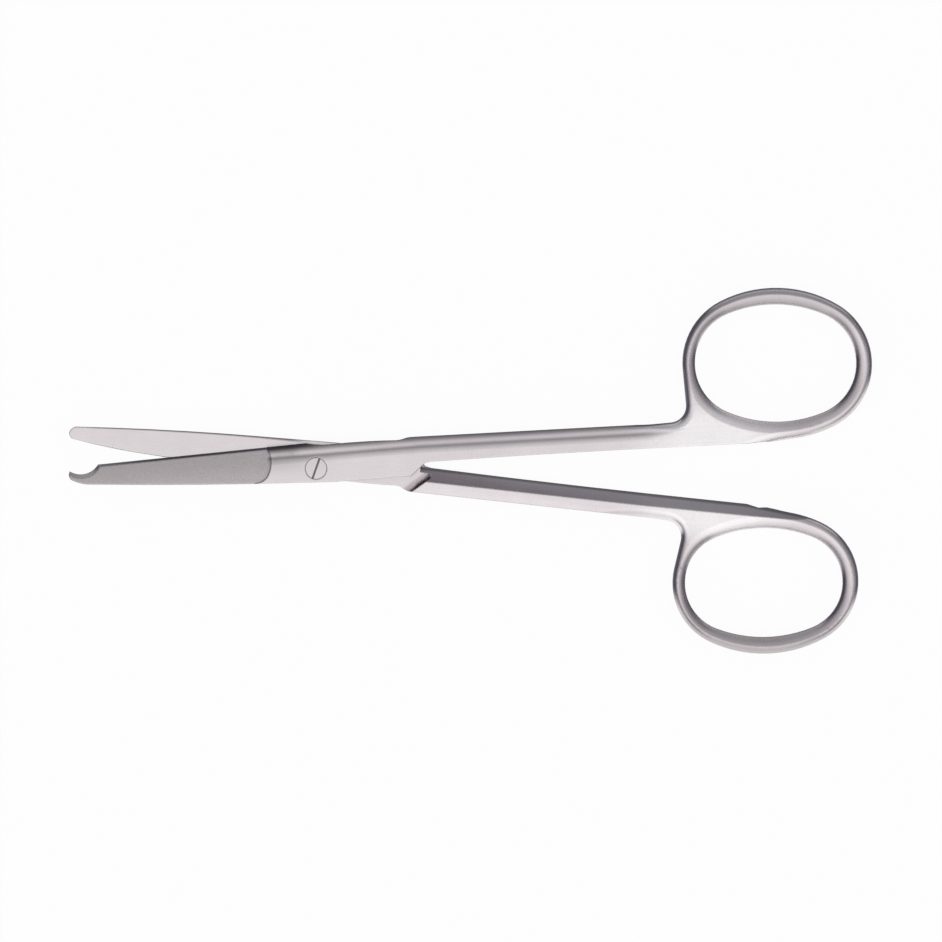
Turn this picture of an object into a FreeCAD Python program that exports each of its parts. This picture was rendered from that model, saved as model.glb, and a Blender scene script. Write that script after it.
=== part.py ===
import FreeCAD, Part
import math
import os
import Sketcher

# Straight suture scissors: two forged halves and the slotted screw that joins them.
#
# Each half is drawn in its own frame: X runs along the closed scissors from the screw towards the
# finger rings, Y points from the centreline to the half's own side, and Z = 0 is the plane in which
# the two halves meet, with the half's lap and blade on the +Z side. The second half is the same
# forging turned half a revolution about X, so every step, bevel and recess finds its counterpart.
#
# In the finished part the screw's axis is the Z axis, Z = 0 is the back of the joint, on which the
# scissors lie, and X is the bisector of the open scissors, with the rings at +X.

os.makedirs("parts", exist_ok=True)
doc = FreeCAD.newDocument("suture_scissors")

# Driving dimensions, in millimetres and degrees.
DIMENSIONS = [
    # The joint
    ("opening_angle", 8.0),          # between the halves, from closed to the pose they lie in
    ("lap_thickness", 2.0),          # one half, where the two lie on each other
    ("lap_gap", 0.03),               # play between the two laps
    ("pivot_offset", 1.09),          # from the centreline to the screw's axis
    ("lap_outer_start", 3.05),       # Y of the lap's outer side where the cutting edge ends
    ("upper_lap_waist", 2.7),        # Y of the hooked half's lap on its outer side, beside the screw
    ("upper_lap_end", 2.93),         # the same before the shoulder
    ("lower_lap_waist", 2.55),       # the same two of the plain half, which is ground narrower
    ("lower_lap_end", 2.6),
    ("lap_outer_radius", 120.0),     # of that side, seen from above
    ("waist_place", 2.0),            # X of the waist
    ("waist_radius", 14.0),
    ("lap_inner", 3.4),              # from the centreline to the lap's inner side beside the screw
    ("lap_inner_place", 3.0),        # X of that widest place
    ("lap_inner_end", 2.93),         # the same at the corner of the lap's end
    ("lap_length", 15.25),           # from the screw to the corner of the lap's end
    ("lap_end_run", 2.3),            # length along X of the slanted end of the lap
    ("lap_end_neck", 0.9),           # from there along X to the shank's inner side
    ("lap_end_step", 0.2),           # what the slanted end stops short of that side
    ("step_place", 7.85),            # from the screw to the ends of the ground step beside the blade
    ("step_radius", 4.7),            # of that step, seen from above
    ("step_runout", 2.1),            # from the centreline to where the step bends along the spine
    ("step_runout_radius", 2.7),
    ("shoulder_place", 15.7),        # X at which the shoulder wall meets the outer side
    ("shoulder_slant", 41.0),        # of the shoulder wall from X
    ("shoulder_hollow", 1.4),        # radius at the foot of the shoulder wall
    ("lap_end_relief", 0.8),         # chamfer under the lap's end, over the other half's hollow
    # The screw
    ("screw_diameter", 2.2),
    ("head_diameter", 3.4),
    ("head_height", 0.9),
    ("head_proud", 0.05),            # what the head stands above the lap
    ("slot_width", 0.3),
    ("slot_depth", 0.45),
    ("slot_turn", 76.0),             # of the slot from X
    ("running_play", 0.03),          # radial, between the screw and the half that turns on it
    ("thread_play", 0.01),           # radial, between the screw and the half that holds it
    # The shank
    ("shank_outer_start", 3.36),     # Y of the outer side behind the shoulder
    ("shank_outer_end", 3.8),        # Y of the outer side before the ring
    ("shank_inner_start", 0.8),      # from the centreline to the inner side, behind the lap
    ("shank_inner_end", 0.12),       # the same at the web
    ("shank_inner_radius", 1700.0),  # of the inner side, seen from above
    ("step_run", 2.6),               # length of the swelling from lap to shank
    ("swell_overrun", 0.4),          # of the swelling's end past the lap's corner
    ("taper_start", 17.0),           # X from which the shank gets thinner
    ("web_start", 54.0),             # X at which the shank widens into the web
    ("root_flare", 3.0),             # of the outer side from X, between the shank and the root
    ("root_radius", 2.7),            # of the corner between shank and ring
    ("inner_line_end", 70.0),        # X at which the inner side reaches the centreline
    ("band_start", 0.72),            # Y of the crease of the front band at the step
    ("band_middle", 1.72),           # Y of the crease at the taper's start
    ("band_end", 2.35),              # Y of the crease at the web
    ("band_root", 3.0),              # Y of the crease where it runs out in the ring
    ("band_fade", 6.6),              # length over which the band and the crown run out in the web
    ("band_last", 0.05),             # share of their depth at the end of that length
    ("band_roll", 1.4),              # width of the rolled edge of the front face beside the crease
    ("band_roll_drop", 0.12),        # height lost across that rolled edge
    ("band_drop", 0.8),              # height lost across the band, to just past the outer side
    ("past_side", 0.4),              # how far past the outer side the band and the crown are cut
    ("band_radius", 6.0),            # of the band's crown
    ("ridge_start", 1.5),            # Y of the back ridge behind the shoulder
    ("ridge_end", 1.9),              # Y of the back ridge at the web
    ("bevel_place", 16.8),           # X at which the inner bevel begins
    ("bevel_end", 84.0),             # X at which it has run out
    ("inner_edge_height", 1.15),     # Z at which the inner bevel leaves the inner side
    ("crown_drop", 0.4),             # height lost from the back ridge to just past the outer side
    ("crown_radius", 9.0),
    # The finger rings
    ("bow_thickness", 3.4),
    ("bow_crown_width", 1.4),        # of the rounding, from the outside to the crest of the bar
    ("hole_crown_width", 1.9),       # of the rounding, from the hole to the crest of the bar
    ("crown_fall", 1.2),             # height lost across both roundings
    ("crown_flatness", 1.35),        # their radius over that of a rounding that ends level
    ("fade_radius", 32.0),           # of the curve in which the outside rounding leaves the edge
    ("fade_angle", 20.0),            # length of that curve
    ("rim_far", 2.5),                # width of the rim at the far end
    ("rim_near", 2.0),               # width of the rim at the shank's end
    ("rim_outer", 2.65),             # width of the rim on the outer side
    ("rim_inner", 2.85),             # width of the rim on the centreline's side
    ("rim_end", 2.6),                # what the outside's end radius is more than the hole's
    ("rim_turn", 1.4),               # tilt of the outside, added to the hole's
    ("rim_leaving", 5.0),            # angle from X at which the outside leaves the inner side
    ("upper_bow_place", 74.98),      # X of the hooked half's ring
    ("upper_bow_offset", 12.84),     # Y of its middle
    ("upper_bow_tilt", 2.6),
    ("upper_near_lean", 3.0),        # of the near side from Y, above the root
    ("upper_hole_length", 26.16),
    ("upper_hole_width", 19.02),
    ("upper_end_radius", 8.6),       # of the finger hole's ends
    ("lower_bow_place", 73.88),      # X of the plain half's ring
    ("lower_bow_offset", 12.4),
    ("lower_bow_tilt", 6.3),
    ("lower_near_lean", 7.7),
    ("lower_hole_length", 25.56),
    ("lower_hole_width", 17.66),
    ("lower_end_radius", 7.9),
    # The blades
    ("blade_length", 40.4),          # from the screw to the tips
    ("edge_start", 1.5),             # from the screw to the end of the cutting edge
    ("edge_bend", 10.4),             # from the blades' ends back to the last straight point of the edge
    ("edge_straight_offset", 1.34),  # Y of the edge there
    ("spine_start", 10.0),           # from the screw to the point where the spine begins to curve
    ("spine_start_offset", 3.18),    # from the centreline to the spine there
    ("spine_end", 4.4),              # from the blades' ends back to where the hook's underside begins
    ("spine_end_offset", 2.2),       # from the centreline to the spine there
    ("spine_radius", 770.0),         # of the hooked blade's spine, seen from above
    ("plain_spine_radius", 480.0),
    ("blade_root", 1.85),            # what the blade reaches into the lap
    ("blade_spine_root", 1.75),      # thickness of the blade at the spine, beside the step
    ("blade_edge_root", 0.95),       # thickness at the cutting edge's bevel, beside the step
    ("blade_spine_tip", 0.95),       # the same two at the tip
    ("blade_edge_tip", 0.6),
    ("edge_bevel_width", 0.4),
    ("edge_land", 0.08),             # thickness left at the cutting edge itself
    # The hooked tip
    ("hook_point", 0.5),             # from the blades' ends back to the hook's upper point
    ("hook_point_offset", 0.1),      # Y of that point
    ("hook_nose_radius", 1.1),
    ("hook_back", 1.1),              # from the blades' ends back to the end of the hook's underside
    ("hook_back_offset", 1.5),       # from the centreline to it
    ("hook_back_radius", 7.0),
    ("notch_end", 5.1),              # from the blades' ends back to where the notch leaves the edge
    ("notch_radius", 3.3),
    ("notch_bevel", 0.55),           # width of the bevel around the notch on the outer face
    ("notch_land", 0.1),             # thickness left at the notch's edge
    # The plain tip
    ("tip_spine_end", 1.5),          # from the blades' ends back to the spine's end
    ("tip_spine_offset", 1.88),
    ("tip_corner_radius", 1.35),
    ("tip_middle_offset", 0.8),      # from the centreline to the tip's foremost point
    ("tip_edge_start", 1.0),         # from the blades' ends back to the end of the cutting edge
    ("tip_edge_offset", 0.22),       # Y of the cutting edge at the tip
    ("tip_nose_radius", 1.0),
    ("tip_bevel_offset", 0.03),      # Y of the edge's bevel just past the tip
    ("belly_radius", 100.0),         # of the edge where it bends towards the tip
    # Cuts
    ("cut_margin", 1.0),             # what a cut runs past the material
    ("cut_reach", 8.0),              # from the centreline to the ends of cuts right across a half
    ("waste", 0.5),                  # left around the ring's outline before its rounding is cut
]


def makeSheet():
    sheet = doc.addObject("Spreadsheet::Sheet", "size")
    for row, (alias, value) in enumerate(DIMENSIONS, 1):
        sheet.set(f"A{row}", str(value))
        sheet.setAlias(f"A{row}", alias)
    doc.recompute()
    return sheet


sheet = makeSheet()

LEVEL = 1e-4        # two heights closer than this are one
NEAR = 0.15         # two places in the plan closer than this are one

# Heights and places that several features share.
LAP_FACE = "size.lap_gap / 2"
LAP_HEIGHT = "size.lap_thickness - size.lap_gap / 2"
BACK_HEIGHT = "size.lap_thickness + size.lap_gap / 2"
FACE_START = "size.lap_thickness"
FACE_END = "size.bow_thickness / 2"
ABOVE = "(size.lap_thickness + size.cut_margin)"
BEHIND_LAP = "(size.lap_length + size.lap_end_run + size.lap_end_neck)"
SWELL_END = "(size.lap_length + size.swell_overrun)"


def worth(expression):
    """Value of an expression on the sheet's dimensions."""
    return float(sheet.evalExpression(expression))


def newSketch(body, name, plane, place=("0", "0", "0"), turn="0", axis=(0, 0, 1)):
    """Sketch on one of the body's origin planes, moved and turned in the plane's own axes."""
    sketch = body.newObject("Sketcher::SketchObject", name)
    origin = [feature for feature in body.Origin.OriginFeatures if feature.Role == plane]
    sketch.AttachmentSupport = [(origin[0], "")]
    sketch.MapMode = "FlatFace"
    sketch.AttachmentOffset = FreeCAD.Placement(
        FreeCAD.Vector(*[worth(part) for part in place]),
        FreeCAD.Rotation(FreeCAD.Vector(axis), worth(turn)),
    )
    for letter, part in zip("xyz", place):
        sketch.setExpression(f"AttachmentOffset.Base.{letter}", part)
    if turn != "0":
        sketch.setExpression("AttachmentOffset.Rotation.Angle", turn)
    return sketch


def bindNumber(sketch, constraint, name, expression):
    index = sketch.addConstraint(constraint)
    sketch.renameConstraint(index, name)
    sketch.setExpression(f"Constraints.{name}", expression)


def drawOutline(sketch, name, corners, closed=True):
    """Outline or open path. A corner is (x, y) before a straight edge, or (x, y, radius, side) before
    an arc whose centre lies to the left or right of the way. An open path ends at its last corner."""
    points = [FreeCAD.Vector(worth(corner[0]), worth(corner[1]), 0) for corner in corners]
    first = sketch.GeometryCount
    ends = []
    steps = corners if closed else corners[:-1]
    for number, corner in enumerate(steps):
        start = points[number]
        end = points[(number + 1) % len(points)]
        if len(corner) == 2:
            sketch.addGeometry(Part.LineSegment(start, end))
            ends.append((1, 2))
            continue
        radius = worth(corner[2])
        chord = end - start
        height = math.sqrt(radius**2 - chord.Length**2 / 4)
        side = 1 if corner[3] == "left" else -1
        normal = FreeCAD.Vector(-chord.y, chord.x, 0).normalize()
        centre = (start + end) * 0.5 + normal * (height * side)
        angles = [math.atan2(point.y - centre.y, point.x - centre.x) for point in (start, end)]
        circle = Part.Circle(centre, FreeCAD.Vector(0, 0, 1), radius)
        if side > 0:
            sketch.addGeometry(Part.ArcOfCircle(circle, angles[0], angles[1]))
            ends.append((1, 2))
        else:
            sketch.addGeometry(Part.ArcOfCircle(circle, angles[1], angles[0]))
            ends.append((2, 1))
    starts = [(first + number, begin) for number, (begin, _) in enumerate(ends)]
    stops = [(first + number, finish) for number, (_, finish) in enumerate(ends)]
    held = starts if closed else starts + stops[-1:]
    for stop, start in zip(stops, starts[1:] + starts[:1] if closed else starts[1:]):
        sketch.addConstraint(Sketcher.Constraint("Coincident", *stop, *start))
    for number, (corner, spot) in enumerate(zip(corners, held)):
        across = Sketcher.Constraint("DistanceX", -1, 1, *spot, points[number].x)
        along = Sketcher.Constraint("DistanceY", -1, 1, *spot, points[number].y)
        bindNumber(sketch, across, f"{name}X{number}", corner[0])
        bindNumber(sketch, along, f"{name}Y{number}", corner[1])
        if len(corner) > 2:
            bend = Sketcher.Constraint("Radius", spot[0], worth(corner[2]))
            bindNumber(sketch, bend, f"{name}R{number}", corner[2])


def drawCircle(sketch, name, x, y, diameter):
    centre = FreeCAD.Vector(worth(x), worth(y), 0)
    circle = Part.Circle(centre, FreeCAD.Vector(0, 0, 1), worth(diameter) / 2)
    edge = sketch.addGeometry(circle)
    bindNumber(sketch, Sketcher.Constraint("DistanceX", -1, 1, edge, 3, centre.x), f"{name}X", x)
    bindNumber(sketch, Sketcher.Constraint("DistanceY", -1, 1, edge, 3, centre.y), f"{name}Y", y)
    size = Sketcher.Constraint("Diameter", edge, worth(diameter))
    bindNumber(sketch, size, f"{name}Diameter", diameter)


def extrude(body, kind, name, sketch, length, backwards=False, symmetric=False):
    feature = body.newObject(f"PartDesign::{kind}", name)
    feature.Profile = sketch
    feature.Reversed = backwards
    feature.Midplane = symmetric
    feature.Length = worth(length)
    feature.setExpression("Length", length)
    body.Tip = feature
    doc.recompute()
    return feature


def revolve(body, kind, name, sketch):
    """Full turn of a sketch about its own upright axis."""
    feature = body.newObject(f"PartDesign::{kind}", name)
    feature.Profile = sketch
    feature.ReferenceAxis = (sketch, ["V_Axis"])
    feature.Angle = 360
    body.Tip = feature
    doc.recompute()
    return feature


def loft(body, kind, name, sketches):
    feature = body.newObject(f"PartDesign::{kind}", name)
    feature.Profile = sketches[0]
    feature.Sections = sketches[1:]
    feature.Ruled = True
    body.Tip = feature
    doc.recompute()
    return feature


def dress(body, kind, name, base, sizeName, expression, wanted):
    """Fillet or chamfer on the edges of the base feature that the test picks."""
    edges = [f"Edge{number}" for number, edge in enumerate(base.Shape.Edges, 1) if wanted(edge)]
    feature = body.newObject(f"PartDesign::{kind}", name)
    feature.Base = (base, edges)
    setattr(feature, sizeName, worth(expression))
    feature.setExpression(sizeName, expression)
    body.Tip = feature
    doc.recompute()
    return feature


def ovalCorners(x, y, halfLength, halfWidth, endRadius):
    """Oval of four tangent arcs: two ends and two long sides."""
    reach = f"({halfLength} - {endRadius})"
    rise = f"({halfWidth} - {endRadius})"
    side = f"(({reach}^2 + {halfWidth}^2 - {endRadius}^2) / (2 * {rise}))"
    share = f"({side} - {endRadius})"
    over = f"({side} * {reach} / {share})"
    up = f"(({side} - {halfWidth}) * {endRadius} / {share})"
    return [
        (f"{x} + {over}", f"{y} + {up}", side, "left"),
        (f"{x} - {over}", f"{y} + {up}", endRadius, "left"),
        (f"{x} - {over}", f"{y} - {up}", side, "left"),
        (f"{x} + {over}", f"{y} - {up}", endRadius, "left"),
    ]




def sweep(body, name, profile, path, edgeCount):
    """Cut a profile along a path in the plan, upright all the way."""
    feature = body.newObject("PartDesign::SubtractivePipe", name)
    feature.Profile = profile
    feature.Spine = (path, [f"Edge{number}" for number in range(1, edgeCount + 1)])
    feature.Mode = "Binormal"
    feature.Binormal = FreeCAD.Vector(0, 0, 1)
    body.Tip = feature
    doc.recompute()
    return feature


def crown(sketch, outwards, width):
    """Profile that rounds a bar's side front and back. The side is at 0, outwards is 1 or -1."""
    top = FACE_END
    fall = "size.crown_fall"
    radius = f"(size.crown_flatness * ({width}^2 + {fall}^2) / (2 * {fall}))"
    crest = f"{-outwards} * {width}"
    beyond = f"{outwards} * 3 * size.waste"
    drawOutline(sketch, "crown", [
        (beyond, f"{-outwards} * {ABOVE}"),
        (beyond, f"{outwards} * {ABOVE}"),
        (crest, f"{outwards} * {ABOVE}"),
        (crest, f"{outwards} * {top}", radius, "right"),
        ("0", f"{outwards} * ({top} - {fall})"),
        ("0", f"{-outwards} * ({top} - {fall})", radius, "right"),
        (crest, f"{-outwards} * {top}"),
        (crest, f"{-outwards} * {ABOVE}"),
    ])


def holeOval(side, margin="0"):
    """Middle, half length, half width and end radius of a finger hole, in the ring's own frame."""
    return (
        "0",
        "0",
        f"(size.{side}_hole_length / 2 - {margin})",
        f"(size.{side}_hole_width / 2 - {margin})",
        f"(size.{side}_end_radius - {margin})",
    )


def outsideOval(side, margin="0"):
    """The same of the ring's outside, in a frame on its middle."""
    return (
        "0",
        "0",
        f"(size.{side}_hole_length / 2 + (size.rim_far + size.rim_near) / 2 + {margin})",
        f"(size.{side}_hole_width / 2 + (size.rim_outer + size.rim_inner) / 2 + {margin})",
        f"(size.{side}_end_radius + size.rim_end + {margin})",
    )


def outsideMiddle(side):
    """X and Y of the middle of the ring's outside, and its tilt in degrees."""
    return (
        f"(size.{side}_bow_place + (size.rim_far - size.rim_near) / 2)",
        f"(size.{side}_bow_offset + (size.rim_outer - size.rim_inner) / 2)",
        f"((size.{side}_bow_tilt + size.rim_turn) * 1deg)",
    )


def fromRing(side, x, y):
    """X and Y in the half of a place in the frame of the ring's outside."""
    middleX, middleY, tilt = outsideMiddle(side)
    return (
        f"({middleX} + ({x}) * cos({tilt}) + ({y}) * sin({tilt}))",
        f"({middleY} - ({x}) * sin({tilt}) + ({y}) * cos({tilt}))",
    )


def addBow(body, side):
    """Blank of the finger ring, still without its hole and with some waste around it."""
    x, y, tilt = outsideMiddle(side)
    place = (x, y, f"-{FACE_END}")
    sketch = newSketch(body, "bow_blank", "XY_Plane", place, f"-(size.{side}_bow_tilt + size.rim_turn)")
    drawOutline(sketch, "blank", ovalCorners(*outsideOval(side, "size.waste")))
    return extrude(body, "Pad", "bow", sketch, "size.bow_thickness")


def nearSide(side):
    """Where the ring's near side goes straight on to the root, and its lean."""
    _, _, halfLength, _, endRadius = outsideOval(side)
    x, y = fromRing(side, f"({endRadius} - {halfLength})", "0")
    lean = f"(size.{side}_near_lean * 1deg)"
    return f"({x} - {endRadius} * cos({lean}))", f"({y} - {endRadius} * sin({lean}))", lean


def rootLines(side):
    """Where the flared end of the shank and the ring's near side would meet without the root's
    radius, and how far from there that radius begins and ends."""
    nearX, nearY, lean = nearSide(side)
    flare = "(size.root_flare * 1deg)"
    startX, startY = "(size.web_start + size.cut_margin)", "size.shank_outer_end"
    rise = f"({nearY} - {startY} - ({nearX} - {startX}) * tan({flare}))"
    down = f"({rise} / (cos({lean}) + sin({lean}) * tan({flare})))"
    meeting = (f"({nearX} + {down} * sin({lean}))", f"({nearY} - {down} * cos({lean}))")
    run = f"(size.root_radius * tan((90deg + {lean} - {flare}) / 2))"
    return meeting, run


def addWeb(body, side):
    """Flat web that fills the corner between the shank and the ring, with waste at the root."""
    meeting, run = rootLines(side)
    nearX, nearY, lean = nearSide(side)
    bottomX, bottomY = fromRing(side, "0", f"-{outsideOval(side)[3]}")
    corners = [
        ("size.web_start", "-size.shank_inner_end"),
        ("size.inner_line_end", "0"),
        (bottomX, f"{bottomY} - size.waste / 2"),
        fromRing(side, "0", "0"),
        (f"{nearX} - size.waste", nearY),
        (f"{meeting[0]} - {run} * sin({lean}) - size.waste", f"{meeting[1]} + {run} * cos({lean})"),
        (f"{meeting[0]} - {run}", f"{meeting[1]} + size.waste"),
        ("size.web_start", "size.shank_outer_end"),
    ]
    sketch = newSketch(body, "web_outline", "XY_Plane", ("0", "0", f"-{FACE_END}"))
    drawOutline(sketch, "web", corners)
    return extrude(body, "Pad", "web", sketch, "size.bow_thickness")


def roundOutside(body, side):
    """Round the outside in one sweep: from the shank round the root and the ring to the inner side,
    gently coming onto the edge and leaving it again."""
    _, _, halfLength, halfWidth, endRadius = outsideOval(side)
    meeting, run = rootLines(side)
    nearX, nearY, lean = nearSide(side)
    tilt = outsideMiddle(side)[2]
    flare = "(size.root_flare * 1deg)"
    fade = "(size.fade_angle * 1deg)"
    startX, startY = "(size.web_start + size.cut_margin)", "size.shank_outer_end"
    coming = f"({fade} - {flare})"
    comingX = f"({startX} - size.fade_radius * (sin({flare}) + sin({coming})))"
    comingY = f"({startY} + size.fade_radius * (cos({flare}) - cos({coming})))"
    right, left, _, rightLow = ovalCorners("0", "0", halfLength, halfWidth, endRadius)
    sideRadius = right[2]
    leaving = f"({tilt} + size.rim_leaving * 1deg)"
    leaveX = f"({sideRadius} * sin({leaving}))"
    leaveY = f"({sideRadius} - {halfWidth} - {sideRadius} * cos({leaving}))"
    gone = f"({leaving} + {fade})"
    goneX = f"({leaveX} + size.fade_radius * (sin({leaving}) - sin({gone})))"
    goneY = f"({leaveY} - size.fade_radius * (cos({leaving}) - cos({gone})))"
    rootX = f"({meeting[0]} - {run} * cos({flare}))"
    rootY = f"({meeting[1]} - {run} * sin({flare}))"
    path = newSketch(body, "outside_path", "XY_Plane")
    drawOutline(path, "path", [
        (comingX, comingY, "size.fade_radius", "left"),
        (startX, startY),
        (rootX, rootY, "size.root_radius", "left"),
        (f"{meeting[0]} - {run} * sin({lean})", f"{meeting[1]} + {run} * cos({lean})"),
        (nearX, nearY, endRadius, "right"),
        fromRing(side, left[0], left[1]) + (sideRadius, "right"),
        fromRing(side, right[0], right[1]) + (endRadius, "right"),
        fromRing(side, rightLow[0], rightLow[1]) + (sideRadius, "right"),
        fromRing(side, leaveX, leaveY) + ("size.fade_radius", "left"),
        fromRing(side, goneX, goneY),
    ], closed=False)
    profile = newSketch(body, "outside_profile", "YZ_Plane", (comingY, "0", comingX),
                        "size.root_flare - size.fade_angle", (0, 1, 0))
    crown(profile, 1, "size.bow_crown_width")
    return sweep(body, "bow_outside", profile, path, 9)


def openHole(body, side):
    """Finger hole with rounded edges."""
    turn = f"-size.{side}_bow_tilt"
    place = (f"size.{side}_bow_place", f"size.{side}_bow_offset")
    core = newSketch(body, "hole_blank", "XY_Plane", place + (f"-{ABOVE}",), turn)
    drawOutline(core, "core", ovalCorners(*holeOval(side, "size.waste")))
    extrude(body, "Pocket", "hole_core", core, f"2 * {ABOVE}", backwards=True)
    right, left, leftLow, rightLow = ovalCorners(*holeOval(side))
    halfWidth = holeOval(side)[3]
    path = newSketch(body, "hole_path", "XY_Plane", place + ("0",), turn)
    drawOutline(path, "path", [("0", halfWidth, right[2], "left"), left, leftLow, rightLow, right])
    tilt = f"(size.{side}_bow_tilt * 1deg)"
    x = f"{place[0]} + {halfWidth} * sin({tilt})"
    y = f"{place[1]} + {halfWidth} * cos({tilt})"
    profile = newSketch(body, "hole_profile", "YZ_Plane", (y, "0", x), turn, (0, 1, 0))
    crown(profile, -1, "size.hole_crown_width")
    return sweep(body, "bow_hole", profile, path, 5)


def shankSides(side):
    """Corners that the shank's two layers share, from the inner side round to the outer side."""
    rise = f"(size.shank_outer_start - size.{side}_lap_end)"
    swell = f"((size.step_run^2 + {rise}^2) / (4 * {rise}))"
    middle = f"(size.shank_outer_start + size.{side}_lap_end) / 2"
    return [
        (BEHIND_LAP, "-size.shank_inner_start", "size.shank_inner_radius", "right"),
        ("size.web_start", "-size.shank_inner_end"),
        ("size.web_start", "size.shank_outer_end"),
        (SWELL_END, "size.shank_outer_start", swell, "left"),
        (f"{SWELL_END} - size.step_run / 2", middle, swell, "right"),
    ]


def addShankBack(body, side):
    """Back layer of the shank, before the shoulder is cut."""
    corners = shankSides(side) + [(f"{SWELL_END} - size.step_run", f"size.{side}_lap_end")]
    sketch = newSketch(body, "shank_back_outline", "XY_Plane", ("0", "0", LAP_FACE))
    drawOutline(sketch, "shank", corners)
    return extrude(body, "Pad", "shank_back", sketch, BACK_HEIGHT, backwards=True)


def addFront(body, side):
    """Front layer: the lap from its ground step to its slanted end, and the shank above it."""
    corners = [
        ("-size.spine_start", "-size.spine_start_offset"),
        ("size.lap_inner_place", "-size.lap_inner"),
        ("size.lap_length", "-size.lap_inner_end"),
        ("size.lap_length + size.lap_end_run", "-size.shank_inner_start - size.lap_end_step"),
    ]
    corners += shankSides(side)
    corners += [
        (f"{SWELL_END} - size.step_run", f"size.{side}_lap_end", "size.lap_outer_radius", "left"),
        ("size.waist_place", f"size.{side}_lap_waist", "size.waist_radius", "right"),
        ("-size.edge_start", "size.lap_outer_start"),
        ("-size.step_place", edgeOffset("-size.step_place"), "size.step_radius", "right"),
        ("-size.step_place", "-size.step_runout", "size.step_runout_radius", "right"),
    ]
    sketch = newSketch(body, "front_outline", "XY_Plane", ("0", "0", LAP_FACE))
    drawOutline(sketch, "front", corners)
    return extrude(body, "Pad", "front_layer", sketch, LAP_HEIGHT)


def cutShoulder(body):
    """Slanted shoulder wall with a hollow foot, cut along its slant under the lap."""
    place = ("size.shank_outer_start", "0", "size.shoulder_place")
    sketch = newSketch(body, "shoulder_profile", "YZ_Plane", place, "-size.shoulder_slant", (0, 1, 0))
    hollowStart = f"{LAP_FACE} - size.shoulder_hollow"
    drawOutline(sketch, "shoulder", [
        ("0", f"-{ABOVE}"),
        ("0", hollowStart, "size.shoulder_hollow", "left"),
        ("-size.shoulder_hollow", LAP_FACE),
        ("-size.lap_length", LAP_FACE),
        ("-size.lap_length", f"-{ABOVE}"),
    ])
    return extrude(body, "Pocket", "shoulder", sketch, "3 * size.lap_length", symmetric=True)


def fromTip(back):
    """X of a place on the blade, given back from the blades' ends."""
    return f"-(size.blade_length - {back})"


def edgeOffset(x):
    """Y of the straight cutting edge at X."""
    run = "(size.blade_length - size.edge_bend - size.edge_start)"
    slope = f"((size.lap_outer_start - size.edge_straight_offset) / {run})"
    return f"(size.lap_outer_start + ({x} + size.edge_start) * {slope})"


def section(body, name, x, corners):
    """Closed outline across the half, at X."""
    sketch = newSketch(body, name, "YZ_Plane", ("0", "0", x))
    drawOutline(sketch, "section", corners)
    return sketch


def cutAlong(body, name, places, cornersAt):
    """Cut with straight rulings through one section at each of the named places."""
    sketches = [section(body, f"{name}_{word}", x, cornersAt(*values)) for word, x, *values in places]
    return loft(body, "SubtractiveLoft", name, sketches)


def addTaper(body):
    """Front and back faces of the shank come closer together towards the ring."""
    for word, sign in (("front", ""), ("back", "-")):
        def corners(face):
            low, high = f"{sign}({face})", f"{sign}({ABOVE})"
            return [
                ("-size.cut_reach", low), ("size.cut_reach", low),
                ("size.cut_reach", high), ("-size.cut_reach", high),
            ]
        places = (("start", "size.taper_start", FACE_START), ("end", "size.web_start", FACE_END))
        cutAlong(body, f"taper_{word}", places, corners)


def addFrontBand(body):
    """Rolled edge, crease and crowned band along the outer side of the front face, out to the root."""
    def corners(crease, face, outer, share):
        rolled = f"{face} - {share} * size.band_roll_drop"
        return [
            (f"{crease} - size.band_roll", ABOVE),
            (f"{crease} - size.band_roll", face, "size.band_radius", "right"),
            (crease, rolled, "size.band_radius", "right"),
            (f"{outer} + size.past_side", f"{rolled} - {share} * size.band_drop"),
            (f"{outer} + size.past_side", ABOVE),
        ]
    start, end = "size.shank_outer_start", "size.shank_outer_end"
    past = "size.shank_outer_end + size.band_root - size.band_end"
    step = "-size.step_place - size.cut_margin"
    root = "size.web_start + size.band_fade"
    places = (
        ("step", step, "size.band_start", FACE_START, start, "1"),
        ("taper", "size.taper_start", "size.band_middle", FACE_START, start, "1"),
        ("web", "size.web_start", "size.band_end", FACE_END, end, "1"),
        ("root", root, "size.band_root", FACE_END, past, "size.band_last"),
    )
    return cutAlong(body, "front_band", places, corners)


def addBackCrown(body):
    """Gentle fall of the back face from its ridge to the outer side."""
    def corners(ridge, face, outer, share):
        return [
            (ridge, f"-({face})", "size.crown_radius", "left"),
            (f"{outer} + size.past_side", f"-({face} - {share} * size.crown_drop)"),
            (f"{outer} + size.past_side", f"-{ABOVE}"),
            (ridge, f"-{ABOVE}"),
        ]
    start, end = "size.shank_outer_start", "size.shank_outer_end"
    shoulder = "size.shoulder_place - 3 * size.cut_margin"
    root = "size.web_start + size.band_fade"
    places = (
        ("shoulder", shoulder, "size.ridge_start", FACE_START, start, "1"),
        ("taper", "size.taper_start", "size.ridge_start", FACE_START, start, "1"),
        ("web", "size.web_start", "size.ridge_end", FACE_END, end, "1"),
        ("root", root, "size.ridge_end", FACE_END, end, "size.band_last"),
    )
    return cutAlong(body, "back_crown", places, corners)


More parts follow.
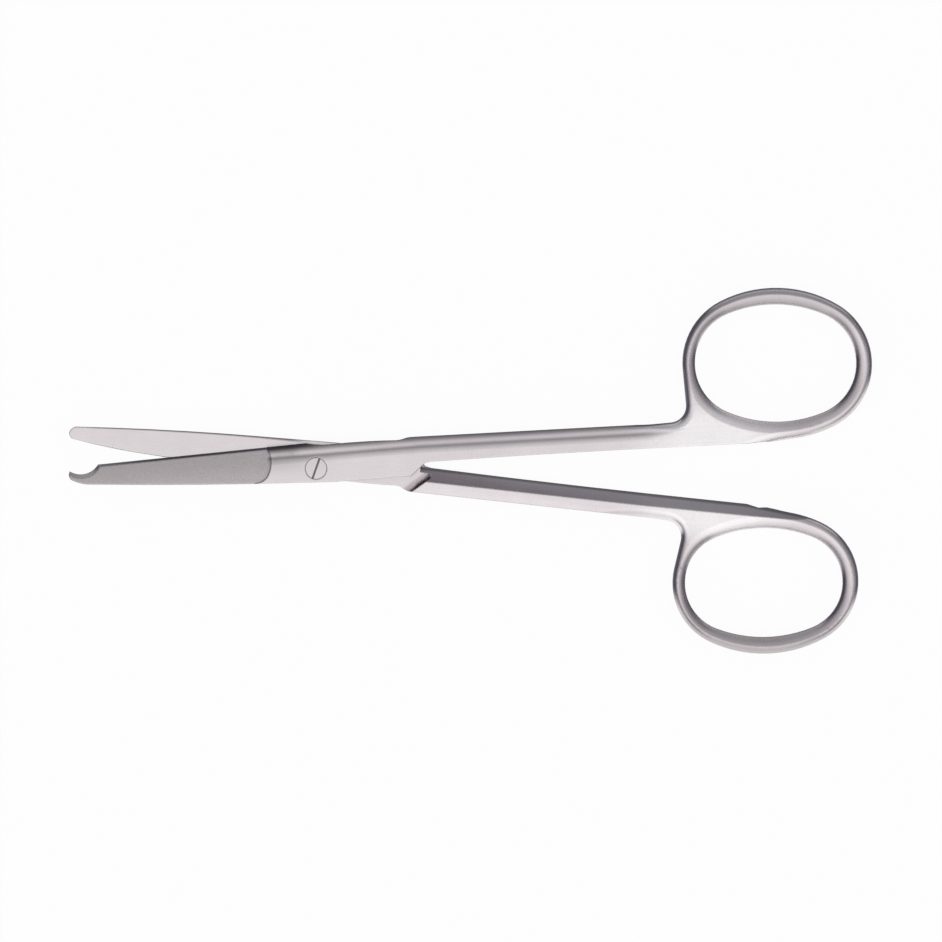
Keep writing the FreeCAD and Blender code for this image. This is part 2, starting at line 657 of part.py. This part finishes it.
def addInnerBevel(body):
    """Bevel from the back ridge across the inner side, which lets the shanks close past each other."""
    def corners(ridge, face, inner):
        return [
            (ridge, f"-({face})"),
            (f"-{inner}", "size.inner_edge_height"),
            ("-size.cut_reach", "size.inner_edge_height"),
            ("-size.cut_reach", f"-{ABOVE}"),
            (ridge, f"-{ABOVE}"),
        ]
    places = (
        ("start", "size.bevel_place", "size.ridge_start", FACE_START, "size.shank_inner_start"),
        ("web", "size.web_start", "size.ridge_end", FACE_END, "size.shank_inner_end"),
        ("end", "size.bevel_end", "size.ridge_end", FACE_END, "0"),
    )
    return cutAlong(body, "inner_bevel", places, corners)


def groundHeight(x, y):
    """Height of the blade's ground outer face at X and Y."""
    span = "(size.blade_length - size.step_place)"
    share = f"((0 - ({x}) - size.step_place) / {span})"
    root = "(size.blade_spine_root - size.blade_edge_root) / (size.lap_outer_start + size.spine_start_offset)"
    atRoot = f"(size.blade_spine_root - {root} * ({y} + size.spine_start_offset))"
    tip = "(size.blade_spine_tip - size.blade_edge_tip) / (size.hook_point_offset + size.spine_end_offset)"
    atTip = f"(size.blade_spine_tip - {tip} * ({y} + size.spine_end_offset))"
    return f"({atRoot} * (1 - {share}) + {atTip} * {share})"


def grindBlade(body, edgePlaces):
    """Ground outer face of the blade, thick at the spine, and the steep bevel of the cutting edge."""
    def face(x):
        ends = ("-size.cut_reach", "size.cut_reach")
        return [(y, groundHeight(x, y)) for y in ends] + [(y, ABOVE) for y in reversed(ends)]
    root = "-size.step_place + size.blade_root + size.cut_margin"
    tip = "-size.blade_length - size.cut_margin"
    cutAlong(body, "ground_face", (("root", root, root), ("tip", tip, tip)), face)

    def bevel(x, edge):
        start = f"({edge} - size.edge_bevel_width)"
        return [
            (start, groundHeight(x, start)),
            (edge, f"{LAP_FACE} + size.edge_land"),
            (f"{edge} + size.cut_margin", f"{LAP_FACE} + size.edge_land"),
            (f"{edge} + size.cut_margin", ABOVE),
            (start, ABOVE),
        ]
    places = [(f"place{number}", x, x, edge) for number, (x, edge) in enumerate(edgePlaces)]
    return cutAlong(body, "edge_bevel", places, bevel)


def lapInner(x):
    """Y of the lap's inner side at X, on from the spine to its widest place."""
    slope = "((size.lap_inner - size.spine_start_offset) / (size.lap_inner_place + size.spine_start))"
    return f"(0 - size.spine_start_offset - ({x} + size.spine_start) * {slope})"


def bladeRoot():
    """Corners of the blade's end, which lies inside the lap."""
    end = "-size.step_place + size.blade_root"
    start = "-size.step_place + size.blade_root / 2"
    return [
        (end, lapInner(end)),
        (end, "size.step_runout"),
        (start, edgeOffset(start)),
    ]


def addHookedBlade(body):
    """Blade with a thin hook and the crescent notch that lifts a stitch."""
    corners = bladeRoot() + [
        (fromTip("size.notch_end"), edgeOffset(fromTip("size.notch_end")), "size.notch_radius", "right"),
        (fromTip("size.hook_point"), "size.hook_point_offset", "size.hook_nose_radius", "left"),
        (fromTip("size.hook_back"), "-size.hook_back_offset", "size.hook_back_radius", "left"),
        (fromTip("size.spine_end"), "-size.spine_end_offset", "size.spine_radius", "left"),
        ("-size.spine_start", "-size.spine_start_offset"),
    ]
    sketch = newSketch(body, "blade_outline", "XY_Plane", ("0", "0", LAP_FACE))
    drawOutline(sketch, "blade", corners)
    extrude(body, "Pad", "blade", sketch, LAP_HEIGHT)
    root = "-size.step_place + size.blade_root"
    tip = fromTip("(size.notch_end - size.cut_margin)")
    grindBlade(body, ((root, edgeOffset(root)), (tip, edgeOffset(tip))))
    return bevelNotch(body)


def arcCentre(first, second, radius):
    """Expressions for the centre of an arc that turns to the left from the second place to the first."""
    across, up = f"({second[0]} - ({first[0]}))", f"({second[1]} - ({first[1]}))"
    chord = f"sqrt({across}^2 + {up}^2)"
    height = f"sqrt({radius}^2 - {chord}^2 / 4)"
    return (
        f"(({first[0]} + ({second[0]})) / 2 + {up} / {chord} * {height})",
        f"(({first[1]} + ({second[1]})) / 2 - {across} / {chord} * {height})",
    )


def bevelNotch(body):
    """Conical bevel around the notch on the blade's outer face, down to a thin edge."""
    notchEnd = (fromTip("size.notch_end"), edgeOffset(fromTip("size.notch_end")))
    point = (fromTip("size.hook_point"), "size.hook_point_offset")
    x, y = arcCentre(notchEnd, point, "size.notch_radius")
    middle = groundHeight(fromTip("(size.notch_end + size.hook_point) / 2"), "0")
    land = f"({LAP_FACE} + size.notch_land)"
    slope = f"(({middle} - {land}) / size.notch_bevel)"
    sketch = newSketch(body, "notch_profile", "XZ_Plane", (x, "0", f"-{y}"))
    drawOutline(sketch, "bevel", [
        ("size.notch_radius / 2", f"{land} - {slope} * size.notch_radius / 2"),
        ("size.notch_radius + 2 * size.notch_bevel", f"{land} + {slope} * 2 * size.notch_bevel"),
        ("size.notch_radius / 2", ABOVE),
    ])
    return revolve(body, "Groove", "notch_bevel", sketch)


def addPlainBlade(body):
    """Blade with a blunt rounded tip."""
    corners = bladeRoot() + [
        (fromTip("size.edge_bend"), "size.edge_straight_offset", "size.belly_radius", "left"),
        (fromTip("size.tip_edge_start"), "size.tip_edge_offset", "size.tip_nose_radius", "left"),
        ("-size.blade_length", "-size.tip_middle_offset", "size.tip_corner_radius", "left"),
        (fromTip("size.tip_spine_end"), "-size.tip_spine_offset", "size.plain_spine_radius", "left"),
        ("-size.spine_start", "-size.spine_start_offset"),
    ]
    sketch = newSketch(body, "blade_outline", "XY_Plane", ("0", "0", LAP_FACE))
    drawOutline(sketch, "blade", corners)
    extrude(body, "Pad", "blade", sketch, LAP_HEIGHT)
    root = "-size.step_place + size.blade_root"
    tip = "-size.blade_length - size.cut_margin"
    places = (
        (root, edgeOffset(root)),
        (fromTip("size.edge_bend"), "size.edge_straight_offset"),
        (tip, "size.tip_bevel_offset"),
    )
    return grindBlade(body, places)


def joins(edge, first, second):
    """True if a level edge on the lap's inner face runs between two places in the plan."""
    box = edge.BoundBox
    if box.ZLength > LEVEL or abs(box.ZMax - worth(LAP_FACE)) > LEVEL or len(edge.Vertexes) != 2:
        return False
    ends = [vertex.Point for vertex in edge.Vertexes]
    for start, end in ((first, second), (second, first)):
        if math.dist(ends[0][:2], start) < NEAR and math.dist(ends[1][:2], end) < NEAR:
            return True
    return False


def relieveLapEnd(body, base):
    """Chamfer under the slanted end of the lap, clear of the other half's hollow."""
    corner = (worth("size.lap_length"), worth("-size.lap_inner_end"))
    end = (worth("size.lap_length + size.lap_end_run"),
           worth("-size.shank_inner_start - size.lap_end_step"))
    return dress(body, "Chamfer", "lap_end_relief", base, "Size", "size.lap_end_relief",
                 lambda edge: joins(edge, corner, end))


def bore(body, name, y, diameter, top, depth):
    """Round hole down from a height."""
    sketch = newSketch(body, f"{name}_circle", "XY_Plane", ("0", "0", top))
    drawCircle(sketch, "hole", "0", y, diameter)
    return extrude(body, "Pocket", name, sketch, depth)


def makeHalf(name, side, addBlade):
    body = doc.addObject("PartDesign::Body", name)
    body.Label = name
    addBow(body, side)
    addWeb(body, side)
    addBlade(body)
    addShankBack(body, side)
    addFront(body, side)
    shoulder = cutShoulder(body)
    relieveLapEnd(body, shoulder)
    addTaper(body)
    addFrontBand(body)
    addBackCrown(body)
    addInnerBevel(body)
    roundOutside(body, side)
    openHole(body, side)
    return body


def makeHookedHalf():
    """Front half: its lap carries the screw's head and turns on the screw."""
    body = makeHalf("hooked_half", "upper", addHookedBlade)
    top = "size.lap_thickness"
    bore(body, "head_seat", "-size.pivot_offset", "size.head_diameter + 2 * size.running_play",
         top, "size.head_height - size.head_proud + size.running_play")
    bore(body, "screw_bore", "-size.pivot_offset", "size.screw_diameter + 2 * size.running_play",
         top, ABOVE)
    return body


def makePlainHalf():
    """Back half: holds the screw's end."""
    body = makeHalf("plain_half", "lower", addPlainBlade)
    bore(body, "screw_bore", "size.pivot_offset", "size.screw_diameter + 2 * size.thread_play",
         "size.lap_thickness", ABOVE)
    return body


def makeScrew():
    """Slotted screw, turned about its axis: head in the front half, end flush with the back."""
    body = doc.addObject("PartDesign::Body", "pivot_screw")
    body.Label = "pivot_screw"
    sketch = newSketch(body, "screw_profile", "XZ_Plane")
    underHead = "size.lap_thickness + size.head_proud - size.head_height"
    top = "size.lap_thickness + size.head_proud"
    dome = "(size.head_diameter^2 / 8 / size.head_proud + size.head_proud / 2)"
    drawOutline(sketch, "screw", [
        ("0", "-size.lap_thickness"),
        ("size.screw_diameter / 2", "-size.lap_thickness"),
        ("size.screw_diameter / 2", underHead),
        ("size.head_diameter / 2", underHead),
        ("size.head_diameter / 2", f"{top} - size.head_proud", dome, "left"),
        ("0", top),
    ])
    revolve(body, "Revolution", "turned_screw", sketch)
    slot = newSketch(body, "slot_outline", "XY_Plane", ("0", "0", top), "size.slot_turn")
    reach, half = "size.head_diameter", "size.slot_width / 2"
    drawOutline(slot, "slot", [
        (f"-{reach}", f"-{half}"), (reach, f"-{half}"), (reach, half), (f"-{reach}", half),
    ])
    extrude(body, "Pocket", "slot", slot, "size.slot_depth")
    return body


def place(body, turnedOver, angle, offset):
    """Put a piece on the screw's axis, with the back of the joint at Z = 0."""
    lift = FreeCAD.Vector(0, offset, worth("size.lap_thickness"))
    over = FreeCAD.Rotation(FreeCAD.Vector(1, 0, 0), 180 if turnedOver else 0)
    swing = FreeCAD.Placement(FreeCAD.Vector(), FreeCAD.Rotation(FreeCAD.Vector(0, 0, 1), angle))
    body.Placement = swing.multiply(FreeCAD.Placement(lift, over))


def faults():
    """Everything in the document that failed or has no sound shape."""
    found = [item.Name for item in doc.Objects if {"Invalid", "Error"} & set(item.State)]
    for item in pieces:
        if item.Shape.isNull() or not item.Shape.isValid() or len(item.Shape.Solids) != 1:
            found.append(item.Label)
    return found


hooked = makeHookedHalf()
plain = makePlainHalf()
screw = makeScrew()
pieces = (hooked, plain, screw)
half = worth("size.opening_angle / 2")
offset = worth("size.pivot_offset")
place(hooked, False, half, offset)
place(plain, True, -half, offset)
place(screw, False, -half, 0)
doc.recompute()

if faults():
    raise RuntimeError(f"these did not come out: {faults()}")
for piece in pieces:
    piece.Shape.exportStep(f"parts/{piece.Label}.step")
    print(f"{piece.Label}: {piece.Shape.Volume:.1f} mm3, {len(piece.Shape.Faces)} faces")
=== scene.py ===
import bpy
import math
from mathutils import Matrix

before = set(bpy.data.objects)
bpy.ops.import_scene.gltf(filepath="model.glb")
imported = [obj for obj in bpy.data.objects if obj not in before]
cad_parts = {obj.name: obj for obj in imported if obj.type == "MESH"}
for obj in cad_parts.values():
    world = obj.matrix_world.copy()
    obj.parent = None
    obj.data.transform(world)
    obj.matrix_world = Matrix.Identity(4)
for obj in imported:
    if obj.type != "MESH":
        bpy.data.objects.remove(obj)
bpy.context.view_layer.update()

# Looks for suture scissors that lie on a white table: satin steel, soft studio light and a camera
# straight above, as in the photograph. Lengths are metres; shader masks work in millimetres.

millimetres = 1000       # in a metre
samples = 6              # of the nodes that round edges and find hollows
reliefDepth = 0.00002    # metres, of the finish at full strength

print("scissors loaded:", ", ".join(sorted(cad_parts)))


# one value in a shader: sums and products of values add Math nodes
class Value:
    def __init__(self, graph, socket):
        self.graph = graph
        self.socket = socket

    def does(self, operation, *others):
        parts = dict(enumerate((self,) + others))
        return self.graph.node("Math", {"operation": operation}, parts)

    def __add__(self, other):
        return self.does("ADD", other)

    def __sub__(self, other):
        return self.does("SUBTRACT", other)

    def __mul__(self, other):
        return self.does("MULTIPLY", other)

    def __rsub__(self, other):
        return self.graph.node("Math", {"operation": "SUBTRACT"}, {0: other, 1: self})

    __radd__ = __add__
    __rmul__ = __mul__

    def size(self):
        return self.does("ABSOLUTE")

    def step(self, low, high):
        # 0 up to low, 1 from high on, eased between them; low may be the larger
        ends = {"Value": self, "From Min": low, "From Max": high}
        return self.graph.node("MapRange", {"interpolation_type": "SMOOTHSTEP"}, ends)

    def along(self, start, end, first, last):
        # straight from first to last as the value goes from start to end
        ends = {"Value": self, "From Min": start, "From Max": end, "To Min": first, "To Max": last}
        return self.graph.node("MapRange", None, ends)

    def follow(self, points):
        # height of a line through the points at this value, level past its ends
        height = points[0][1]
        for (start, low), (end, high) in zip(points, points[1:]):
            height = self.along(start, end, 0.0, high - low) + height
        return height

    def other(self, name):
        return Value(self.graph, self.socket.node.outputs[name])


# a node tree that is filled node by node
class Graph:
    def __init__(self, tree):
        self.tree = tree
        tree.nodes.clear()

    def node(self, kind, settings=None, inputs=None, output=0):
        made = self.tree.nodes.new("ShaderNode" + kind)
        for name, setting in (settings or {}).items():
            if name == "stops":
                self.setStops(made.color_ramp, setting)
            else:
                setattr(made, name, setting)
        for name, part in (inputs or {}).items():
            if isinstance(part, Value):
                self.tree.links.new(part.socket, made.inputs[name])
            else:
                made.inputs[name].default_value = part
        return Value(self, made.outputs[output]) if made.outputs else None

    def setStops(self, ramp, stops):
        for number, (place, grey) in enumerate(stops):
            if number >= len(ramp.elements):
                ramp.elements.new(place)
            ramp.elements[number].position = place
            ramp.elements[number].color = (grey, grey, grey, 1)

    def blend(self, share, first, second):
        sockets = {0: share, 6: first, 7: second}
        return self.node("Mix", {"data_type": "RGBA"}, sockets, output=2)


def steelGrey(grey):
    # steel's very slight rose tint
    return (grey * 1.035, grey * 0.965, grey, 1)


# camera and light

view = {
    "centre": (0.02503, 0.00028),   # what the picture's middle looks at
    "width": 0.15251,               # that the picture covers at the plane between the halves
    "plane": 0.002,                 # height of that plane above the table
    "turn": 1.6,                    # degrees, of the camera about the line of sight
    "lens": 200,
}

# a wide bright panel overhead that reaches down to the table towards -Y, the bottom of the picture,
# and leaves a dimmer room at the other sides; a pair is where a change begins and where it is full
light = {
    "panel": (1.0, 0.995, 0.985, 1),
    "room": (0.115, 0.107, 0.135, 1),
    "far": 0.66,                    # how much of the panel is lost towards +Y, in two steps
    "farSteps": ((0.03, 0.4), (0.55, 1.0)),
    "farShare": 0.68,               # of the first step
    "ends": 0.9,                    # how much is lost low down towards +X and -X
    "endsX": (0.25, 0.65),
    "endsZ": (0.75, 0.08),
    "near": 0.12,                   # how much brighter it is towards -Y
    "nearY": (-0.05, -0.4),
    "low": 0.25,                    # and how much dimmer it gets again there, close to the table
    "lowY": (-0.7, -1.0),
}

table = {
    "side": 3.0,
    "drop": 0.00005,                # gap under the scissors
    "colour": (0.96, 0.96, 0.96, 1),
    "roughness": 0.7,
    "specular": 0.2,
    "white": 0.95,                  # share of plain white in what the camera and the steel see
}


def addCamera():
    data = bpy.data.cameras.new("camera")
    data.lens = view["lens"]
    camera = bpy.data.objects.new("camera", data)
    distance = view["width"] * data.lens / data.sensor_width
    camera.location = (*view["centre"], view["plane"] + distance)
    camera.rotation_euler = (0, 0, math.radians(view["turn"]))
    bpy.context.collection.objects.link(camera)
    bpy.context.scene.camera = camera


def addWorld():
    world = bpy.data.worlds.new("studio")
    world.use_nodes = True
    graph = Graph(world.node_tree)
    x = graph.node("SeparateXYZ", None, {0: graph.node("TexCoord")})
    y, z = x.other("Y"), x.other("Z")
    first, second = light["farSteps"]
    share = light["farShare"]
    far = (y.step(*first) * share + y.step(*second) * (1.0 - share)) * light["far"]
    ends = x.size().step(*light["endsX"]) * z.step(*light["endsZ"]) * light["ends"]
    dim = 1.0 - (1.0 - far) * (1.0 - ends)
    colour = graph.blend(dim, light["panel"], light["room"])
    strength = y.step(*light["nearY"]) * light["near"] - y.step(*light["lowY"]) * light["low"] + 1.0
    # the camera itself sees plain white past the table's edge
    seen = graph.node("LightPath", output="Is Camera Ray")
    colour = graph.blend(seen, colour, (1, 1, 1, 1))
    strength = (1.0 - strength) * seen + strength
    shine = graph.node("Background", None, {"Color": colour, "Strength": strength})
    graph.node("OutputWorld", None, {"Surface": shine})
    bpy.context.scene.world = world


def startMaterial(name):
    material = bpy.data.materials.new(name)
    material.use_nodes = True
    return material, Graph(material.node_tree)


def addTable():
    side, drop = table["side"], table["drop"]
    mesh = bpy.data.meshes.new("floor")
    corners = [(-side, -side, -drop), (side, -side, -drop), (side, side, -drop), (-side, side, -drop)]
    mesh.from_pydata(corners, [], [(0, 1, 2, 3)])
    floor = bpy.data.objects.new("floor", mesh)
    bpy.context.collection.objects.link(floor)
    material, graph = startMaterial("white_table")
    surface = graph.node("BsdfPrincipled", None, {
        "Base Color": table["colour"],
        "Roughness": table["roughness"],
        "Specular IOR Level": table["specular"],
    })
    path = graph.node("LightPath", output="Is Camera Ray")
    seen = path.does("MAXIMUM", path.other("Is Glossy Ray"))
    seen = seen.does("MAXIMUM", path.other("Is Transmission Ray"))
    white = graph.node("Emission", None, {"Color": (1, 1, 1, 1), "Strength": 1.0})
    surface = graph.node("MixShader", None, {0: seen * table["white"], 1: surface, 2: white})
    graph.node("OutputMaterial", None, {"Surface": surface})
    mesh.materials.append(material)


bpy.context.scene.view_settings.view_transform = "Standard"
addCamera()
addWorld()
addTable()
print("camera, light and table made")


# steel

def dress(node, material, graph, coat):
    # steel of a coat's colour, its tone and roughness, with fine relief on the rounded edges
    toned = graph.node("VectorMath", {"operation": "SCALE"}, {0: coat["shade"], "Scale": coat["tone"]})
    bump = graph.node("Bump", None, {
        "Height": coat["height"],
        "Normal": coat["rounded"],
        "Strength": coat["relief"],
        "Distance": reliefDepth,
    })
    surface = graph.node("BsdfPrincipled", None, {
        "Base Color": toned, "Metallic": 1.0, "Roughness": coat["rough"], "Normal": bump})
    graph.node("OutputMaterial", None, {"Surface": surface})
    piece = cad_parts[node]
    piece.data.materials.clear()
    piece.data.materials.append(material)


# greys of a half's surfaces, and the places in its own frame where they change, in millimetres:
# X from the screw to the rings, Y to the half's own side, Z from the plane between the halves.
# A pair is where a change begins and where it is full.
half = {
    "opening": -4.0,                # turn that undoes the half's place in the open scissors
    "offset": (1.09, 2.0),          # Y and Z of that place
    "edge": 0.00035,                # metres, to which the edges are polished round

    "face": steelGrey(0.70),
    "lap": steelGrey(0.56),         # beside the ground step
    # painted light: the web leans towards the bright panel, so it is given a lighter grey
    "web": (0.89, 0.865, 0.885, 1),
    "blade": steelGrey(0.46),       # the outer face, which is ground matt
    # painted shade: the grey of steep faces and edges that look away from the light
    "steep": (0.083, 0.075, 0.1, 1),

    "outerZ": (0.1, 0.4),           # the half's outer side
    "lapX": (5.0, -7.0),
    "lapY": (-2.4, 0.2),
    "webX": (48.0, 60.0),
    "webEndX": (80.0, 68.0),
    "webY": (8.0, 4.0),
    "bladeX": (-2.0, -4.0),
    "bladeZ": (1.93, 1.8),
    "bladeY": (1.0, -4.0),          # which way the blade gets lighter
    "bladeLight": 0.25,
    # painted shade: the rings are made darker by the share below
    "ringY": (15.0, 22.0),
    "ringDark": 0.22,

    # slopes, where 1 is a face that lies level and 0 one that stands upright
    "slope": (0.78, 0.5),           # from which any face is steep and gets painted shade
    "endSlope": (0.82, 0.66),       # the same of faces to the tips or the rings
    "endways": (0.3, 0.6),          # how far a face looks to the tips or the rings
    "nearSide": (-0.05, -0.4),      # how far to -Y, where the light keeps it bright
    "worn": (0.99, 0.75),           # how far the rounding has turned an edge, which then gets painted shade
    "wornDark": 0.6,
    "hollow": (0.95, 0.45),         # how open an inside corner is; closed ones get painted shade
    "hollowReach": 0.0005,          # metres
    "hollowDark": 0.7,

    # the rolled crease on the front, painted with light and shade across it: its tone by the distance
    # from its line, from the flat side to the shank's outer side
    "crease": {
        "line": [(-7.85, 0.72), (17.0, 1.64), (54.0, 2.14)],
        "across": (-1.1, 1.5),
        "startX": (-7.9, -7.6),
        "endX": (60.0, 52.0),
        "light": 1.28,              # that all the stops are multiplied by
        "stops": [(0.0, 0.78), (0.23, 0.67), (0.33, 0.56), (0.42, 0.42), (0.48, 0.48), (0.55, 0.74),
                  (0.64, 0.97), (0.73, 0.9), (0.81, 0.68), (0.88, 0.5), (1.0, 0.28)],
    },
    # painted shade along the plain blade's rounded spine, a line which bows a little
    "spine": {
        "line": [(-10.0, -3.18), (-36.0, -2.2)],
        "bow": 0.7,                 # four times how far it bows
        "width": (0.45, 0.12),
        "startX": (-1.0, -5.0),
        "dark": 0.75,
    },
    # painted shadow on the lap's outer side just behind the step, between the halves
    "side": {
        "line": [(-7.85, 2.67), (-1.5, 3.05)],
        "across": (-0.95, -0.25),
        "startX": (-7.9, -7.7),
        "endX": (1.5, -2.0),
        "dark": 0.85,
    },
    # painted shade along the bevel's edge on the shank's inner side, where it looks away from the light
    "rim": {
        "line": [(17.0, -0.8), (54.0, -0.12), (70.0, 0.04), (80.0, 1.04)],
        "width": (0.65, 0.25),
        "slope": (0.75, 0.65),
        "startX": (15.0, 18.0),
        "endX": (84.0, 78.0),
        "dark": 0.55,
    },

    # the finish: satin grain, faint lines along the length and cloudy patches
    "grainScale": 4.5,
    "grain": 0.35,
    "bladeGrain": 0.4,              # that the matt blade has more
    "lineScale": (0.25, 5.0, 5.0),
    "lines": 0.08,
    "cloudScale": 0.25,
    "clouds": 0.1,
    "roughness": 0.27,
    "bladeRough": 0.12,
    "roughGrain": 0.1,
    "relief": 0.12,
}


def makeHalf(node, over):
    # over is 1 for the front half and -1 for the one that lies turned over
    material, graph = startMaterial(node + "_steel")
    shift, lift = half["offset"]
    place = graph.node("Mapping", None, {
        "Vector": graph.node("TexCoord", output="Object"),
        "Scale": (millimetres, millimetres * over, millimetres * over),
        "Rotation": (0, 0, math.radians(half["opening"])),
        "Location": (0, -shift * over, -lift * over),
    })
    x = graph.node("SeparateXYZ", None, {0: place})
    y, z = x.other("Y"), x.other("Z")

    # which way the surface looks, with its edges rounded, and how far the rounding has turned it, where
    # edges get painted shade
    rounded = graph.node("Bevel", {"samples": samples}, {"Radius": half["edge"]})
    toObject = {"vector_type": "NORMAL", "convert_from": "WORLD", "convert_to": "OBJECT"}
    facing = graph.node("VectorTransform", toObject, {"Vector": rounded})
    facing = graph.node("SeparateXYZ", None, {0: facing})
    level = facing.other("Z").size()
    shaded = 1.0 - facing.other("Y").step(*half["nearSide"])
    endways = facing.size().step(*half["endways"])
    # painted shade on steep faces, most on those that look to the tips or the rings
    steep = (level.step(*half["endSlope"]) * endways).does("MAXIMUM", level.step(*half["slope"]))
    plain = graph.node("NewGeometry", output="Normal")
    turned = graph.node("VectorMath", {"operation": "DOT_PRODUCT"}, {0: plain, 1: rounded}, output="Value")
    worn = turned.step(*half["worn"]) * half["wornDark"]
    # painted shade in inside corners, from ambient occlusion
    hollow = graph.node("AmbientOcclusion", {"samples": samples, "only_local": True}, {
        "Distance": half["hollowReach"]}, output="AO")
    hollow = hollow.step(*half["hollow"]) * half["hollowDark"]

    # regions
    outer = z.step(*half["outerZ"])
    lap = outer * x.step(*half["lapX"]) * y.step(*half["lapY"])
    # where the web gets painted light
    web = x.step(*half["webX"]) * x.step(*half["webEndX"]) * y.step(*half["webY"])
    blade = outer * x.step(*half["bladeX"]) * z.step(*half["bladeZ"])
    ring = y.step(*half["ringY"])

    # painted light and shade along lines that forging and the grinding wheel left
    mark = half["crease"]
    across = (y - x.follow(mark["line"])).along(*mark["across"], 0.0, 1.0)
    crease = graph.node("ValToRGB", {"stops": mark["stops"]}, {"Fac": across}) * mark["light"]
    crease = (crease - 1.0) * outer * x.step(*mark["startX"]) * x.step(*mark["endX"]) + 1.0
    mark = half["spine"]
    (start, startY), (end, endY) = mark["line"]
    run = x.along(start, end, 0.0, 1.0)
    spine = y - startY - run * (endY - startY) + run * (1.0 - run) * mark["bow"]
    spine = spine.size().step(*mark["width"]) * (1.0 - outer) * x.step(*mark["startX"]) * mark["dark"]
    mark = half["side"]
    # painted shadow between the halves on the lap's outer side
    side = (y - x.follow(mark["line"])).step(*mark["across"]) * outer
    side = side * x.step(*mark["startX"]) * x.step(*mark["endX"]) * mark["dark"]
    mark = half["rim"]
    rim = (y - x.follow(mark["line"])).size().step(*mark["width"]) * level.step(*mark["slope"])
    rim = rim * x.step(*mark["startX"]) * x.step(*mark["endX"]) * mark["dark"]

    # finish, with the painted light and shade of the marks above multiplied into its tone
    grain = graph.node("TexNoise", None, {
        "Vector": place, "Scale": half["grainScale"], "Detail": 4.0, "Roughness": 0.7})
    stretched = graph.node("Mapping", None, {"Vector": place, "Scale": half["lineScale"]})
    lines = graph.node("TexNoise", None, {"Vector": stretched, "Scale": 1.0, "Detail": 3.0})
    clouds = graph.node("TexNoise", None, {"Vector": place, "Scale": half["cloudScale"], "Detail": 2.0})
    tone = (grain - 0.5) * (blade * half["bladeGrain"] + half["grain"]) + 1.0
    tone = tone + (lines - 0.5) * half["lines"] + (clouds - 0.5) * half["clouds"]
    tone = tone * crease * (1.0 - ring * half["ringDark"]) * (1.0 - rim * shaded)
    tone = tone * (blade * y.step(*half["bladeY"]) * half["bladeLight"] + 1.0)
    shade = graph.blend(lap, half["face"], half["lap"])
    shade = graph.blend(web, shade, half["web"])
    shade = graph.blend(blade, shade, half["blade"])
    # painted shade from steep faces, turned edges, the spine, the lap's side and inside corners
    dark = (steep.does("MAXIMUM", worn) * shaded).does("MAXIMUM", spine)
    dark = dark.does("MAXIMUM", side).does("MAXIMUM", hollow)
    dress(node, material, graph, {
        "shade": graph.blend(dark, shade, half["steep"]),
        "tone": tone,
        "rough": (grain - 0.5) * half["roughGrain"] + blade * half["bladeRough"] + half["roughness"],
        "height": grain + lines,
        "rounded": rounded,
        "relief": half["relief"],
    })


makeHalf("hooked_half", 1)
makeHalf("plain_half", -1)


screw = {
    "face": steelGrey(0.68),
    # painted shade on the screw's steep faces and, below, in its slot
    "steep": steelGrey(0.16),
    "slot": steelGrey(0.2),
    "slope": (0.9, 0.5),
    "slotTop": (3.9, 3.75),         # heights in millimetres between which only the slot shows, which gets painted shade
    "slotFloor": (3.0, 3.1),
    "edge": 0.00012,                # metres
    "grainScale": 7.0,
    "grain": 0.1,
    "ringScale": 2.5,               # rings left by the lathe
    "ringWander": 0.6,
    "rings": 0.06,
    "roughness": 0.3,
    "roughGrain": 0.1,
    "relief": 0.1,
}


def makeScrew():
    material, graph = startMaterial("screw_steel")
    place = graph.node("Mapping", None, {
        "Vector": graph.node("TexCoord", output="Object"), "Scale": (millimetres,) * 3})
    z = graph.node("SeparateXYZ", None, {0: place}, output="Z")
    rounded = graph.node("Bevel", {"samples": samples}, {"Radius": screw["edge"]})
    level = graph.node("SeparateXYZ", None, {0: rounded}, output="Z").size()
    grain = graph.node("TexNoise", None, {
        "Vector": place, "Scale": screw["grainScale"], "Detail": 3.0})
    rings = graph.node("TexWave", {"wave_type": "RINGS", "rings_direction": "Z"}, {
        "Vector": place,
        "Scale": screw["ringScale"],
        "Distortion": screw["ringWander"],
        "Detail": 2.0,
    })
    shade = graph.blend(level.step(*screw["slope"]), screw["face"], screw["steep"])
    slot = z.step(*screw["slotTop"]) * z.step(*screw["slotFloor"])
    dress("pivot_screw", material, graph, {
        "shade": graph.blend(slot, shade, screw["slot"]),
        "tone": (grain - 0.5) * screw["grain"] + (rings - 0.5) * screw["rings"] + 1.0,
        "rough": (grain - 0.5) * screw["roughGrain"] + screw["roughness"],
        "height": rings + grain,
        "rounded": rounded,
        "relief": screw["relief"],
    })


makeScrew()
print("steel made")
